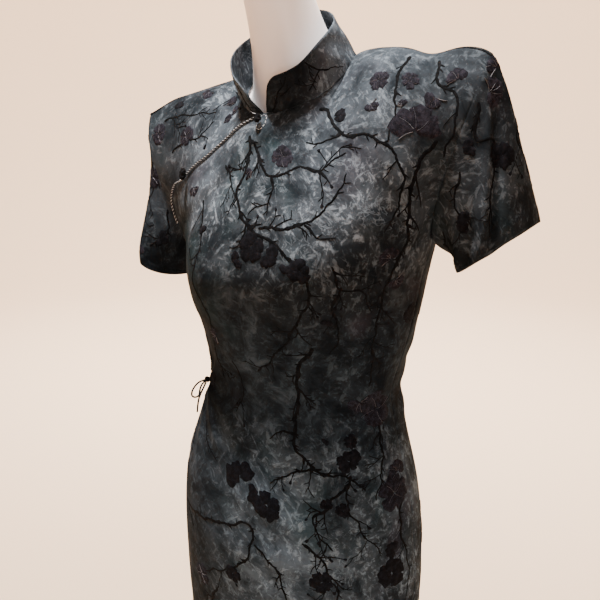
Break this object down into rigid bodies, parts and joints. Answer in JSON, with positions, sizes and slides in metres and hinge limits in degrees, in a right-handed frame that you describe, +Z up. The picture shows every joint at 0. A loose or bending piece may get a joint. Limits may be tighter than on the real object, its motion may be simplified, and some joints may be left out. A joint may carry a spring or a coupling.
{
  "type": "cheongsam dress on dress form",
  "caption": "Fitted knee-length cheongsam dress with mandarin collar, short sleeves, slanted front opening, knot buttons and waist tie, worn by a limbless dress form on a round stand.",
  "frame": {"origin": "centre of the bounding box in x and y, on the floor under the stand's base", "axes": "+Z up, the dress's front faces -Y, the wearer's left is +X"},
  "size_m": [0.4649, 0.33, 1.5642],
  "materials": {
    "flocked_cloth": "dark charcoal velvet with flocked flowers",
    "dark_trim": "dark piping, knot buttons and cord",
    "form_white": "satin white",
    "stand_metal": "brushed"
  },
  "bodies": {
    "root": {"front_panel": "flocked_cloth", "underlap_panel": "flocked_cloth", "back_panel": "flocked_cloth", "sleeve_left": "flocked_cloth", "sleeve_right": "flocked_cloth", "collar": "flocked_cloth", "placket_piping": "dark_trim", "neck_button": "dark_trim", "lap_button": "dark_trim", "tie_knot": "dark_trim", "tie_loop": "dark_trim", "tie_tail": "dark_trim", "form_torso": "form_white", "neck_cap": "stand_metal", "stand_pole": "stand_metal", "stand_base": "stand_metal"}
  },
  "joints": []
}
